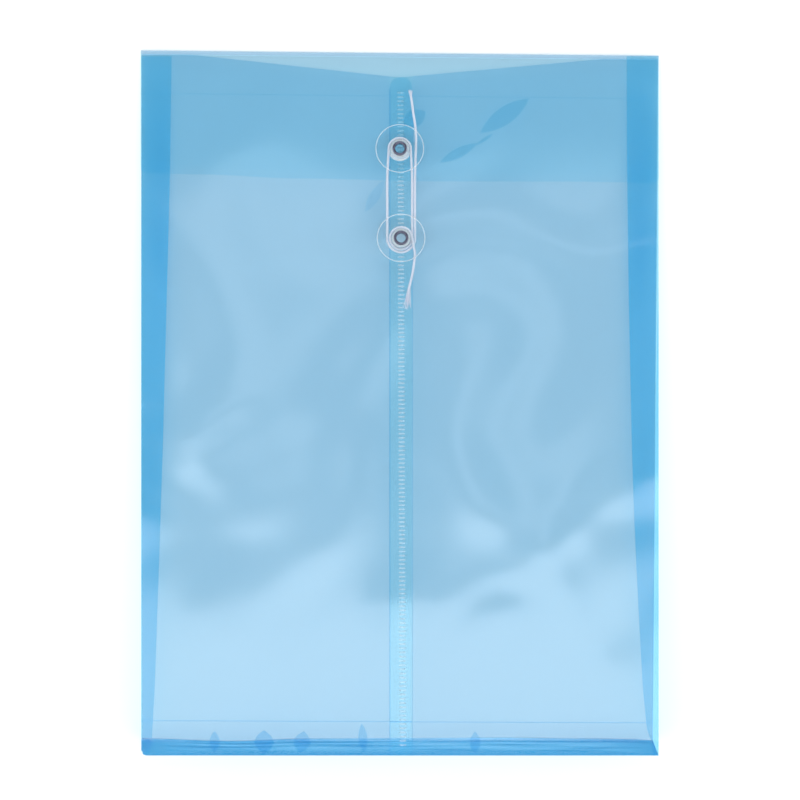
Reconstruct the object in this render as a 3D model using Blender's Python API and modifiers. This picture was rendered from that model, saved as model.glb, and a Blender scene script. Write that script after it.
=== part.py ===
"""String-tie document wallet: a translucent film pocket with gusseted sides, a squared base, a flap and two
string buttons. It lies on its back: +X is its right side, +Y its mouth, +Z faces up. Lengths are in metres."""

from math import asin, cos, degrees, pi, radians, sin, sqrt, tan

import bmesh
import bpy
from mathutils import Vector

# Film pocket
WIDTH = 0.240
LENGTH = 0.326
DEPTH = 0.0288
FILM = 0.0002
FILM_GAP = 0.0003
GUSSET_LEAF = 0.0146
GUSSET_ROWS = 28
BASE_CORNER = 0.0024

# Mouth and centre seam of the front
CORNER_DROP = 0.0025
NOTCH_DEPTH = 0.0092
SEAM_X = 0.0006
SEAM_LAP = 0.0105
SEAM_TOP_RADIUS = 0.0046
WELD_WIDTH = 0.0030
WELD_THICKNESS = 0.0002
WELD_CLEARANCE = 0.00015
WELD_END = 0.0030
WELD_BUTTON_ROOM = 0.0020

# Flap
FLAP_LENGTH = 0.0601
FLAP_CORNER = 0.0030
FOLD_RADIUS = 0.0020
FOLD_STEPS = 12

# String buttons
FLAP_BUTTON_EDGE = 0.0139
FLAP_BUTTON_X = 0.0
POCKET_BUTTON_DROP = 0.0871
SEAT = 0.00015
DISC_RADIUS = 0.0112
DISC_THICKNESS = 0.0008
DISC_RIM = 0.0005
HUB_RADIUS = 0.0043
HUB_HEIGHT = 0.0035
HUB_FLANGE_RADIUS = 0.0055
HUB_FLANGE = 0.00035
WASHER_RADIUS = 0.0050
WASHER_THICKNESS = 0.0005
EYELET_BORE = 0.00215
EYELET_WALL = 0.00025
EYELET_FLANGE_RADIUS = 0.00335
EYELET_CURL_RADIUS = 0.0031
EYELET_ROLL = 0.0005
EYELET_SHOULDER = 0.0002
EYELET_PLAY = 0.0002
FILM_HOLE_PLAY = 0.0004
TURNED_STEPS = 32
DISC_STEPS = 48

# String
STRING_DIAMETER = 0.0012
STRING_REST = 0.0002
TURN_SPACING = 0.0019
LEVEL_RISE = 0.0017
LEFT_STRAND_INSET = 0.00063
CLIMB_START = 0.00019
CLIMB_DROP = 0.00021
CROSSING_STEP = 0.00095
LOOP_POINTS = 24
ROUTE_STEP = 0.0022

# Places that follow from the sizes
LAP_GAP = WELD_THICKNESS + 2 * WELD_CLEARANCE
LAP_TOP = 2 * FILM + LAP_GAP
MOUTH_GAP = 2 * FILM + 3 * FILM_GAP
FOLD_OUTSIDE = FOLD_RADIUS + FILM / 2
FOLD_Y = LENGTH / 2 - FOLD_OUTSIDE
FRONT_REACH = LENGTH - CORNER_DROP
LEAN = asin((DEPTH - FILM - MOUTH_GAP) / FRONT_REACH)
FRONT_LENGTH = FRONT_REACH / cos(LEAN)
SEAM_TOP = FRONT_LENGTH - NOTCH_DEPTH
LAP_LEFT = SEAM_X - SEAM_LAP / 2
LAP_RIGHT = SEAM_X + SEAM_LAP / 2
BARREL_RADIUS = EYELET_BORE + EYELET_WALL
HOLE_RADIUS = BARREL_RADIUS + FILM_HOLE_PLAY
FLAP_BUTTON_Y = FOLD_OUTSIDE - FLAP_LENGTH + FLAP_BUTTON_EDGE
POCKET_BUTTON_Y = (LENGTH - POCKET_BUTTON_DROP) / cos(LEAN)

# Colours as linear values
FILM_BLUE = (0.31, 0.56, 0.75)
CLEAR = (0.80, 0.90, 0.95)
MILKY = (0.85, 0.88, 0.92)
NICKEL = (0.55, 0.55, 0.56)
COTTON = (0.86, 0.82, 0.84)


def new_collection(name):
    """A collection linked to the scene."""
    made = bpy.data.collections.new(name)
    bpy.context.scene.collection.children.link(made)
    return made


def new_material(name, colour, roughness, metallic=0.0, alpha=1.0):
    """A Principled material."""
    made = bpy.data.materials.new(name)
    made.use_nodes = True
    shader = made.node_tree.nodes["Principled BSDF"]
    shader.inputs["Base Color"].default_value = (*colour, 1.0)
    shader.inputs["Roughness"].default_value = roughness
    shader.inputs["Metallic"].default_value = metallic
    shader.inputs["Alpha"].default_value = alpha
    return made


for old in list(bpy.data.objects):
    bpy.data.objects.remove(old)
wallet = new_collection("string_tie_wallet")


def add_empty(name, parent=None, location=(0, 0, 0), tilt=0.0):
    """An empty that carries a group of pieces, turned about X by tilt."""
    empty = bpy.data.objects.new(name, None)
    empty.empty_display_size = 0.02
    wallet.objects.link(empty)
    empty.parent = parent
    empty.location = location
    empty.rotation_euler = (tilt, 0, 0)
    return empty


def add_piece(name, data, carrier, material, location=(0, 0, 0)):
    """An object that shows data, carried by an empty."""
    piece = bpy.data.objects.new(name, data)
    wallet.objects.link(piece)
    piece.parent = carrier
    piece.location = location
    data.materials.append(material)
    return piece


def circle(centre, radius, count):
    """Points round a circle in the XY plane."""
    return [
        (centre[0] + radius * cos(2 * pi * i / count), centre[1] + radius * sin(2 * pi * i / count))
        for i in range(count)
    ]


def arc(centre, radius, start, end, steps):
    """Points along an arc, angles in degrees."""
    turns = [radians(start + (end - start) * i / steps) for i in range(steps + 1)]
    return [(centre[0] + radius * cos(a), centre[1] + radius * sin(a)) for a in turns]


def flat_outline(name, outlines, thickness):
    """A flat plate: the first outline is its edge and the others are holes."""
    curve = bpy.data.curves.new(name, "CURVE")
    curve.dimensions = "2D"
    curve.fill_mode = "BOTH"
    curve.extrude = thickness / 2
    for outline in outlines:
        spline = curve.splines.new("POLY")
        spline.points.add(len(outline) - 1)
        for point, (x, y) in zip(spline.points, outline):
            point.co = (x, y, 0, 1)
        spline.use_cyclic_u = True
    return curve


def film_plate(name, outlines, carrier, underside):
    """A flat sheet of film whose lower face lies at the height underside."""
    data = flat_outline(name, outlines, FILM)
    return add_piece(name, data, carrier, film, (0, 0, underside + FILM / 2))


def film_shell(name, rows, carrier):
    """A bent sheet of film: rows of points on its middle surface, given its thickness by Solidify."""
    mesh = bpy.data.meshes.new(name)
    grid = bmesh.new()
    columns = [[grid.verts.new(p) for p in row] for row in rows]
    for near, far in zip(columns, columns[1:]):
        for i in range(len(near) - 1):
            grid.faces.new((near[i], near[i + 1], far[i + 1], far[i]))
    bmesh.ops.recalc_face_normals(grid, faces=grid.faces)
    grid.to_mesh(mesh)
    grid.free()
    shell = add_piece(name, mesh, carrier, film)
    wall = shell.modifiers.new("film", "SOLIDIFY")
    wall.thickness = FILM
    wall.offset = 0
    mesh.shade_smooth()
    return shell


def turned(name, profile, steps, carrier, material, location):
    """A ring turned about Z from a closed profile of (radius, height) that runs down its outer side."""
    mesh = bpy.data.meshes.new(name)
    count = len(profile)
    edges = [(i, (i + 1) % count) for i in range(count)]
    mesh.from_pydata([(r, 0, z) for r, z in profile], edges, [])
    ring = add_piece(name, mesh, carrier, material, location)
    screw = ring.modifiers.new("turn", "SCREW")
    screw.steps = steps
    screw.render_steps = steps
    screw.use_merge_vertices = True
    screw.merge_threshold = 0.00001
    return ring


# Materials
film = new_material("blue_film", FILM_BLUE, 0.18, alpha=0.55)
clear_plastic = new_material("clear_disc_plastic", CLEAR, 0.10, alpha=0.5)
milky_plastic = new_material("milky_hub_plastic", MILKY, 0.35, alpha=0.8)
nickel = new_material("nickel_eyelet", NICKEL, 0.22, metallic=1.0)
cotton = new_material("cotton_string", COTTON, 0.9)

# Carriers: the back is the ground, the front turns at the base's upper edge, the flap at the top fold
back = add_empty("pocket_back")
front = add_empty("pocket_front", back, (0, -LENGTH / 2, DEPTH), -LEAN)
flap_side = add_empty("flap_side", back, (0, FOLD_Y, FOLD_OUTSIDE), -LEAN)
FLAP_UNDERSIDE = FOLD_RADIUS - FILM / 2

# The flap's outer face, measured square to the front from the front's lower face
fold_in_front = Vector((0, FOLD_Y + LENGTH / 2, FOLD_OUTSIDE - DEPTH))
across_front = Vector((0, sin(LEAN), cos(LEAN)))
along_front = Vector((0, cos(LEAN), -sin(LEAN)))
FLAP_RISE = fold_in_front.dot(across_front)
FOLD_REACH = fold_in_front.dot(along_front)
FLAP_TOP = FLAP_RISE + FOLD_RADIUS + FILM / 2


def build_back():
    """Rear panel and the two leaves of the base wall."""
    half = WIDTH / 2
    low = -LENGTH / 2
    foot = [(-half, low), (half, low), (half, FOLD_Y - FILM_GAP), (-half, FOLD_Y - FILM_GAP)]
    film_plate("rear_panel", [foot], back, 0)
    leaf = (DEPTH - FILM - 3 * FILM_GAP) / 2
    corner = min(BASE_CORNER, leaf / 2)
    for name, bottom, rounded in (
        ("base_rear_leaf", FILM + FILM_GAP, False),
        ("base_front_leaf", FILM + 2 * FILM_GAP + leaf, True),
    ):
        outline = [(-half, 0), (half, 0), (half, leaf), (-half, leaf)]
        if rounded:
            left_end = arc((-half + corner, leaf - corner), corner, 90, 180, 6)
            outline = [(-half, 0), (half, 0), (half, leaf), *left_end]
        data = flat_outline(name, [outline], FILM)
        wall = add_piece(name, data, back, film, (0, low + FILM / 2, bottom))
        wall.rotation_euler = (pi / 2, 0, 0)


def build_gusset(side, sign):
    """The two leaves of one side, folded flat at the mouth and opened to a wall at the base."""
    edge = sign * (WIDTH - FILM) / 2
    front_rows = []
    rear_rows = []
    start = -LENGTH / 2 + FILM + FILM_GAP
    end = -LENGTH / 2 + FRONT_REACH - FILM_GAP
    rear_outer = FILM + FILM_GAP + FILM / 2
    for i in range(GUSSET_ROWS + 1):
        y = start + (end - start) * i / GUSSET_ROWS
        front_under = DEPTH - (y + LENGTH / 2) * tan(LEAN)
        front_outer = front_under - FILM_GAP - FILM / 2
        middle = (front_outer + rear_outer) / 2
        fold_gap = (FILM + FILM_GAP) / 2
        opening = min((front_outer - rear_outer) / 2, GUSSET_LEAF)
        inset = sqrt(max(GUSSET_LEAF**2 - opening**2, 0))
        fold_x = edge - sign * inset
        front_rows.append([(edge, y, front_outer), (fold_x, y, middle + fold_gap)])
        rear_rows.append([(edge, y, rear_outer), (fold_x, y, middle - fold_gap)])
    film_shell(side + "_gusset_front_leaf", front_rows, back)
    film_shell(side + "_gusset_rear_leaf", rear_rows, back)


def build_front():
    """The two halves of the front, lapped along the centre seam, with the pocket button's hole."""
    half = WIDTH / 2
    hole = circle((SEAM_X, POCKET_BUTTON_Y), HOLE_RADIUS, TURNED_STEPS)
    inner = SEAM_TOP - SEAM_TOP_RADIUS
    left_end = arc((LAP_RIGHT - SEAM_TOP_RADIUS, inner), SEAM_TOP_RADIUS, 0, 90, 8)
    left = [(-half, 0), (LAP_RIGHT, 0), *left_end, (LAP_LEFT, SEAM_TOP), (-half, FRONT_LENGTH)]
    film_plate("front_left_panel", [left, hole], front, 0)
    right_end = arc((LAP_LEFT + SEAM_TOP_RADIUS, inner), SEAM_TOP_RADIUS, 90, 180, 8)
    right = [(LAP_LEFT, 0), (half, 0), (half, FRONT_LENGTH), (LAP_RIGHT, SEAM_TOP), *right_end]
    film_plate("front_right_panel", [right, hole], front, FILM + LAP_GAP)


def build_weld(name, start, end):
    """A fused strip between the lapped edges."""
    left = SEAM_X - WELD_WIDTH / 2
    right = SEAM_X + WELD_WIDTH / 2
    outline = [(left, start), (right, start), (right, end), (left, end)]
    data = flat_outline(name, [outline], WELD_THICKNESS)
    add_piece(name, data, front, film, (0, 0, FILM + WELD_CLEARANCE + WELD_THICKNESS / 2))


def build_flap():
    """The flap and the bent film of the top fold that it turns on."""
    half = WIDTH / 2
    end = FOLD_OUTSIDE - FLAP_LENGTH
    low_left = arc((-half + FLAP_CORNER, end + FLAP_CORNER), FLAP_CORNER, 180, 270, 6)
    low_right = arc((half - FLAP_CORNER, end + FLAP_CORNER), FLAP_CORNER, 270, 360, 6)
    outline = [*low_left, *low_right, (half, -FILM_GAP), (-half, -FILM_GAP)]
    hole = circle((FLAP_BUTTON_X, FLAP_BUTTON_Y), HOLE_RADIUS, TURNED_STEPS)
    film_plate("flap", [outline, hole], flap_side, FLAP_UNDERSIDE)
    rows = []
    for y, z in arc((FOLD_Y, FOLD_OUTSIDE), FOLD_RADIUS, -90, 90 - degrees(LEAN), FOLD_STEPS):
        rows.append([(-half, y, z), (half, y, z)])
    film_shell("flap_crease", rows, back)


def build_button(name, carrier, x, y, film_top, film_stack):
    """Hub, disc, washer and eyelet of one button, stacked on the film's outer face."""
    low_disc = film_top + SEAT + HUB_HEIGHT + SEAT
    high_disc = low_disc + DISC_THICKNESS
    washer_top = film_top - film_stack - SEAT
    washer_low = washer_top - WASHER_THICKNESS
    bore = BARREL_RADIUS + EYELET_PLAY
    hub = [
        (bore, HUB_HEIGHT),
        (HUB_RADIUS, HUB_HEIGHT),
        (HUB_RADIUS, HUB_FLANGE),
        (HUB_FLANGE_RADIUS, HUB_FLANGE),
        (HUB_FLANGE_RADIUS, 0),
        (bore, 0),
    ]
    at = Vector((x, y, 0))
    lift = Vector((0, 0, 1))
    turned(name + "_button_hub", hub, TURNED_STEPS, carrier, milky_plastic, at + lift * (film_top + SEAT))
    disc = [
        (bore, DISC_THICKNESS),
        (DISC_RADIUS - DISC_RIM, DISC_THICKNESS),
        (DISC_RADIUS, DISC_THICKNESS - DISC_RIM / 2),
        (DISC_RADIUS, DISC_RIM / 2),
        (DISC_RADIUS - DISC_RIM, 0),
        (bore, 0),
    ]
    spin = add_empty(name + "_disc_axis", carrier, at + lift * low_disc)
    turned(name + "_button_disc", disc, DISC_STEPS, spin, clear_plastic, (0, 0, 0))
    washer = [
        (bore, WASHER_THICKNESS),
        (WASHER_RADIUS, WASHER_THICKNESS),
        (WASHER_RADIUS, 0),
        (bore, 0),
    ]
    turned(name + "_button_washer", washer, TURNED_STEPS, carrier, clear_plastic, at + lift * washer_low)
    flange_low = high_disc + SEAT
    curl_top = washer_low - SEAT
    shoulder = min(EYELET_SHOULDER, EYELET_ROLL / 2)
    eyelet = [
        (EYELET_BORE, flange_low),
        (EYELET_BORE + shoulder, flange_low + EYELET_ROLL),
        (EYELET_FLANGE_RADIUS - shoulder, flange_low + EYELET_ROLL),
        (EYELET_FLANGE_RADIUS, flange_low + EYELET_ROLL - shoulder),
        (EYELET_FLANGE_RADIUS, flange_low),
        (BARREL_RADIUS, flange_low),
        (BARREL_RADIUS, curl_top),
        (EYELET_CURL_RADIUS, curl_top),
        (EYELET_CURL_RADIUS, curl_top - EYELET_ROLL + shoulder),
        (EYELET_CURL_RADIUS - shoulder, curl_top - EYELET_ROLL),
        (EYELET_BORE + shoulder, curl_top - EYELET_ROLL),
        (EYELET_BORE, curl_top),
    ]
    turned(name + "_eyelet", eyelet, TURNED_STEPS, carrier, nickel, at)


# String route in the front's own frame: across, along from the base edge, and height
FLAP_HUB = Vector((FLAP_BUTTON_X, FOLD_REACH + FLAP_BUTTON_Y, 0))
POCKET_HUB = Vector((SEAM_X, POCKET_BUTTON_Y, 0))
STRING_RADIUS = STRING_DIAMETER / 2
ON_HUB = SEAT + HUB_FLANGE + SEAT + STRING_RADIUS
ON_FILM = STRING_RADIUS + STRING_REST
FLAP_LEVEL = FLAP_TOP + ON_HUB
POCKET_LEVEL = LAP_TOP + ON_HUB
INNER_TURN = HUB_RADIUS + STRING_RADIUS + STRING_REST
OUTER_TURN = INNER_TURN + TURN_SPACING
FLAP_EDGE = FOLD_REACH + FOLD_OUTSIDE - FLAP_LENGTH

# The tails are read off the photograph: right of and beyond the hub they hang from, then height
TOP_TAIL = [
    (0.0050, 0.0256),
    (0.0056, 0.0216),
    (0.0063, 0.0163),
    (0.0071, 0.0112),
    (0.0074, 0.0070),
    (0.0075, 0.0030),
]
BOTTOM_TAIL = [
    (0.0059, -0.0122),
    (0.0051, -0.0172),
    (0.0038, -0.0228),
    (0.0031, -0.0284),
]


def turn(hub, radius, start, end, low, high=None):
    """Points of a turn about a hub, clockwise from start to end degrees, climbing from low to high."""
    steps = max(1, round(abs(start - end) / 360 * LOOP_POINTS))
    points = []
    for i in range(steps + 1):
        part = i / steps
        angle = radians(start + (end - start) * part)
        level = low if high is None else low + (high - low) * part
        points.append(Vector((hub.x + radius * cos(angle), hub.y + radius * sin(angle), level)))
    return points


def over_flap_edge(x):
    """Points that carry a strand over the flap's free edge and on towards the pocket button."""
    rest = FLAP_TOP + ON_FILM
    below = (FLAP_EDGE + POCKET_HUB.y) / 2
    return [Vector((x, FLAP_EDGE, rest)), Vector((x, below, (rest + POCKET_LEVEL) / 2))]


def string_route():
    """The string from its upper free end, round both hubs, to its lower free end."""
    route = [Vector((FLAP_HUB.x + x, FLAP_HUB.y + y, FLAP_TOP + ON_FILM)) for x, y in TOP_TAIL]
    route += over_flap_edge(POCKET_HUB.x + OUTER_TURN)
    route += turn(POCKET_HUB, OUTER_TURN, 0, -180, POCKET_LEVEL)
    route += reversed(over_flap_edge(POCKET_HUB.x - OUTER_TURN + LEFT_STRAND_INSET))
    route += turn(FLAP_HUB, INNER_TURN, 180, 0, FLAP_LEVEL)
    route += over_flap_edge(POCKET_HUB.x + INNER_TURN)
    route += turn(POCKET_HUB, INNER_TURN, 0, -180, POCKET_LEVEL)
    high = POCKET_LEVEL + LEVEL_RISE
    route += turn(POCKET_HUB, INNER_TURN, -195, -315, POCKET_LEVEL + CLIMB_START, high)
    route += turn(POCKET_HUB, INNER_TURN, -330, -360, high)
    clear = OUTER_TURN + CROSSING_STEP
    route.append(Vector((POCKET_HUB.x + INNER_TURN + CROSSING_STEP, POCKET_HUB.y - INNER_TURN, high)))
    route.append(Vector((POCKET_HUB.x + OUTER_TURN, POCKET_HUB.y - clear, high - CLIMB_DROP)))
    rest = LAP_TOP + ON_FILM
    route += [Vector((POCKET_HUB.x + x, POCKET_HUB.y + y, rest)) for x, y in BOTTOM_TAIL]
    return route


def smooth_path(route, step):
    """Points about one step apart on a smooth curve through the route."""
    ends = [2 * route[0] - route[1], *route, 2 * route[-1] - route[-2]]
    path = [route[0]]
    for a, b, c, d in zip(ends, ends[1:], ends[2:], ends[3:]):
        pieces = max(1, round((c - b).length / step))
        for i in range(1, pieces + 1):
            t = i / pieces
            path.append(
                0.5 * (2 * b + (c - a) * t + (2 * a - 5 * b + 4 * c - d) * t**2)
                + 0.5 * (3 * b - a - 3 * c + d) * t**3
            )
    return path


def least_gap(path, diameter):
    """The least clear distance between stretches of a tube that aren't neighbours along it."""
    along = [0.0]
    for a, b in zip(path, path[1:]):
        along.append(along[-1] + (b - a).length)
    least = along[-1]
    for i, a in enumerate(path):
        for j in range(i + 1, len(path)):
            if along[j] - along[i] > 4 * diameter:
                least = min(least, (path[j] - a).length)
    return least - diameter, along[-1]


def build_string():
    """The tie string as one unbroken tube."""
    fine = smooth_path(string_route(), STRING_DIAMETER / 4)
    gap, length = least_gap(fine, STRING_DIAMETER)
    print(f"tie_string: {length * 1000:.1f} mm long, least gap to itself {gap * 1000:.2f} mm")
    path = smooth_path(string_route(), ROUTE_STEP)
    curve = bpy.data.curves.new("tie_string", "CURVE")
    curve.dimensions = "3D"
    curve.bevel_depth = STRING_RADIUS
    curve.bevel_resolution = 1
    curve.use_fill_caps = True
    spline = curve.splines.new("POLY")
    spline.points.add(len(path) - 1)
    for point, place in zip(spline.points, path):
        point.co = (*place, 1)
    add_piece("tie_string", curve, front, cotton)


build_back()
for gusset_side, gusset_sign in (("left", -1), ("right", 1)):
    build_gusset(gusset_side, gusset_sign)
build_front()
button_room = HUB_FLANGE_RADIUS + WELD_BUTTON_ROOM
build_weld("seam_weld_upper", POCKET_BUTTON_Y + button_room, SEAM_TOP - WELD_END)
build_weld("seam_weld_lower", WELD_END, POCKET_BUTTON_Y - button_room)
build_flap()
build_button("flap", flap_side, FLAP_BUTTON_X, FLAP_BUTTON_Y, FLAP_UNDERSIDE + FILM, FILM)
build_button("pocket", front, SEAM_X, POCKET_BUTTON_Y, LAP_TOP, LAP_TOP)
build_string()
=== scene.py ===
"""String-tie document wallet of translucent blue film, lying on its back on a white studio floor."""

import random
from math import asin, cos, hypot, pi, radians, sin, sqrt, tan

import bmesh
import bpy
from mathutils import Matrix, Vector


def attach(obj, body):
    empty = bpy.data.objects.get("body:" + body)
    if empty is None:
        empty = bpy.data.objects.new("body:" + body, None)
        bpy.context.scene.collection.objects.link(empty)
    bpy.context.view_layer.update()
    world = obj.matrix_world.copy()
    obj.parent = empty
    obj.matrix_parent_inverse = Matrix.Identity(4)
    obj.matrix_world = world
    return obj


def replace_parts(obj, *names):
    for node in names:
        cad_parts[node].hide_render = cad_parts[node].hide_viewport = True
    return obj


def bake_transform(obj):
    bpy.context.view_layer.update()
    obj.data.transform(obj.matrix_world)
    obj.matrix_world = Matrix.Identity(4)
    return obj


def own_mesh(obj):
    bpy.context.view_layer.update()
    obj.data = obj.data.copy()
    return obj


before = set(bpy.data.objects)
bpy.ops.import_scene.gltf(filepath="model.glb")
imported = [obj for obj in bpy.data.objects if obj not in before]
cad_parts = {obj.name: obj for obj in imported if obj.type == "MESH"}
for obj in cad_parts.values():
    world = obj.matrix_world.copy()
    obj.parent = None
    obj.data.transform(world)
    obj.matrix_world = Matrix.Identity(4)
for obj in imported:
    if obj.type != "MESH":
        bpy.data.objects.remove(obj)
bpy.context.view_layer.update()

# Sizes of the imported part, in metres
WIDTH = 0.240
LENGTH = 0.326
DEPTH = 0.0288
FILM = 0.0002
FILM_GAP = 0.0003
FRONT_REACH = 0.3235
MOUTH_GAP = 2 * FILM + 3 * FILM_GAP
LEAN = asin((DEPTH - FILM - MOUTH_GAP) / FRONT_REACH)
FOLD_RADIUS = 0.0020
FOLD_OUTSIDE = FOLD_RADIUS + FILM / 2
FOLD_Y = LENGTH / 2 - FOLD_OUTSIDE
LAP_GAP = 0.0005
LAP_TOP = 2 * FILM + LAP_GAP
SEAM_X = 0.0006
LAP_HALF = 0.00525
LAP_LEFT = SEAM_X - LAP_HALF
LAP_RIGHT = SEAM_X + LAP_HALF
HALF = WIDTH / 2

ACROSS = Vector((0, sin(LEAN), cos(LEAN)))
ALONG = Vector((0, cos(LEAN), -sin(LEAN)))
BASE_EDGE = Vector((0, -LENGTH / 2, DEPTH))
FOLD_AXIS = Vector((0, FOLD_Y, FOLD_OUTSIDE))
FOLD_REACH = (FOLD_AXIS - BASE_EDGE).dot(ALONG)
FLAP_UNDER = (FOLD_AXIS - BASE_EDGE).dot(ACROSS) + FOLD_RADIUS - FILM / 2
FLAP_TOP = FLAP_UNDER + FILM
FLAP_LENGTH = 0.0601
FLAP_BUTTON_IN = 0.0139
POCKET_BUTTON_DOWN = 0.0871
FLAP_EDGE = FOLD_REACH + FOLD_OUTSIDE - FLAP_LENGTH
FLAP_S = FLAP_EDGE + FLAP_BUTTON_IN
FLAP_Y = FLAP_EDGE * cos(LEAN) - LENGTH / 2
FLAP_X = 0.0
POCKET_S = (LENGTH - POCKET_BUTTON_DOWN) / cos(LEAN)


def on_front(x, s, h):
    """A point by its place on the front: x across, s along from the base edge, h above the lower face."""
    return BASE_EDGE + Vector((x, 0, 0)) + ALONG * s + ACROSS * h


def blend_points(points, x, eased=True):
    """The value at x between (x, value) points, eased or straight."""
    if x <= points[0][0]:
        return points[0][1]
    for (x0, v0), (x1, v1) in zip(points, points[1:]):
        if x <= x1:
            t = (x - x0) / (x1 - x0)
            if eased:
                t = t * t * (3 - 2 * t)
            return v0 + (v1 - v0) * t
    return points[-1][1]


# Camera: square to the front panel, as in the photograph
VIEW_DISTANCE = 1.200
VIEW_WIDTH = 0.3710
VIEW_X = 0.0001
VIEW_S = 0.1649
SENSOR = 36
camera = bpy.data.objects.new("camera", bpy.data.cameras.new("camera"))
bpy.context.scene.collection.objects.link(camera)
camera.location = on_front(VIEW_X, VIEW_S, VIEW_DISTANCE)
camera.rotation_euler = (-LEAN, 0, 0)
camera.data.sensor_width = SENSOR
camera.data.lens = SENSOR * VIEW_DISTANCE / VIEW_WIDTH
camera.data.clip_start = 0.01
bpy.context.scene.camera = camera


def srgb(code):
    """Linear colour of an sRGB hex code."""
    values = [int(code[i : i + 2], 16) / 255 for i in (0, 2, 4)]
    return tuple(v / 12.92 if v <= 0.04045 else ((v + 0.055) / 1.055) ** 2.4 for v in values)


def add_mesh(name, bm, material, body, smooth=None):
    """An object from a bmesh that rides on a body."""
    bmesh.ops.recalc_face_normals(bm, faces=bm.faces)
    mesh = bpy.data.meshes.new(name)
    bm.to_mesh(mesh)
    bm.free()
    obj = bpy.data.objects.new(name, mesh)
    bpy.context.scene.collection.objects.link(obj)
    for each in material if isinstance(material, (list, tuple)) else [material]:
        mesh.materials.append(each)
    if smooth is not None:
        mesh.shade_smooth()
        mesh.set_sharp_from_angle(angle=radians(smooth))
    if body:
        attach(obj, body)
    return obj


def new_material(name):
    """An empty node material, its tree and its output."""
    made = bpy.data.materials.new(name)
    made.use_nodes = True
    made.node_tree.nodes.clear()
    out = made.node_tree.nodes.new("ShaderNodeOutputMaterial")
    return made, made.node_tree, out


def add(tree, kind, inputs=(), **settings):
    """A shader node with its settings; an input is a value or another node's socket."""
    node = tree.nodes.new("ShaderNode" + kind)
    for key, value in settings.items():
        setattr(node, key, value)
    for key, value in dict(inputs).items():
        if isinstance(value, bpy.types.NodeSocket):
            tree.links.new(value, node.inputs[key])
        else:
            node.inputs[key].default_value = value
    return node


# Cast polypropylene film, tinted blue: clear, glossy and never quite flat. Each of its faces tints what
# passes. Waves of some 95 mm bend the lights it mirrors. Places where two sheets cling show a deeper blue;
# along the creases the deeper blue is painted shade.
WAVE = 0.095
CLING_SOFT = 0.10

# The lap of the front mirrors less than one sheet does, and so does the roll of the film over the base edge
LAP_LINE = 0.00035
LAP_LINE_DEPTH = 0.9
LAP_END = 0.1464
LAP_FADE = 0.0030
LAP_GLOSS = 0.7
ROLL_Y = -LENGTH / 2 + 0.0066
ROLL_SOFT = 0.0012
ROLL_GLOSS = 0.3

# Streaks of the pinched base, partly its wrinkles and partly painted reflection of its rounded film: how
# long, fine and strong, and where its ends and its front half turn deeper
STREAK_LONG = 0.070
STREAK_FINE = 0.0036
STREAK_DEPTH = 0.6
DEEP_ENDS_X = 0.70 * HALF
DEEP_FRONT_Z = 0.45 * DEPTH


def slant_gloss(tree, gloss, bent=()):
    """A thin sheet's mirror share, the same for both its faces: gloss face on, and all of it at a slant."""
    facing = add(tree, "LayerWeight", {"Blend": 0.5, **dict(bent)}).outputs["Facing"]
    rise = add(tree, "Math", {0: facing, 1: 5.0}, operation="POWER")
    share = add(tree, "Math", {0: rise.outputs[0], 1: 1 - gloss, 2: gloss}, operation="MULTIPLY_ADD")
    return share.outputs[0]


def distance_from(tree, value, middle):
    """How far a value lies from its middle, on either side."""
    off = add(tree, "Math", {0: value, 1: middle}, operation="SUBTRACT")
    return add(tree, "Math", {0: off.outputs[0]}, operation="ABSOLUTE").outputs[0]


def crease_shade_mark(tree, place, crease):
    """Painted shade along a straight crease, (y at the middle, slope along x, half width, depth)."""
    middle, slope, half, depth = crease
    x, y, _ = add(tree, "SeparateXYZ", {0: place}).outputs
    level = add(tree, "Math", {0: x, 1: -slope, 2: y}, operation="MULTIPLY_ADD")
    off = distance_from(tree, level.outputs[0], middle)
    return add(tree, "MapRange", {0: off, 1: 0.0, 2: half, 3: depth, 4: 0.0}).outputs[0]


def cling_mark(tree, place, cling):
    """A leaf-shaped patch that clings to the sheet behind, (x, y, turn, half length, half width, depth)."""
    at_x, at_y, turned_by, half_long, half_wide, depth = cling
    leaf = add(
        tree,
        "Mapping",
        {
            "Vector": place,
            "Location": (at_x, at_y, 0),
            "Rotation": (0, 0, radians(turned_by)),
            "Scale": (half_long, half_wide, 1),
        },
        vector_type="TEXTURE",
    )
    along, across, _ = add(tree, "SeparateXYZ", {0: leaf.outputs[0]}).outputs
    side = add(tree, "Math", {0: across}, operation="ABSOLUTE")
    reach = add(tree, "Math", {0: along, 1: along, 2: side.outputs[0]}, operation="MULTIPLY_ADD")
    return add(
        tree, "MapRange", {0: reach.outputs[0], 1: 1.0 - CLING_SOFT, 2: 1.0, 3: depth, 4: 0.0}
    ).outputs[0]


def lap_line_mark(tree, off_seam, y):
    """The two edges of the lap, as thin lines that fade where the lap ends at the mouth."""
    off_edge = distance_from(tree, off_seam, LAP_HALF)
    line = add(tree, "MapRange", {0: off_edge, 1: 0.0, 2: LAP_LINE, 3: LAP_LINE_DEPTH, 4: 0.0})
    below = add(tree, "MapRange", {0: y, 1: LAP_END - LAP_FADE, 2: LAP_END, 3: 1.0, 4: 0.0})
    return add(tree, "Math", {0: line.outputs[0], 1: below.outputs[0]}, operation="MULTIPLY").outputs[0]


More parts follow.
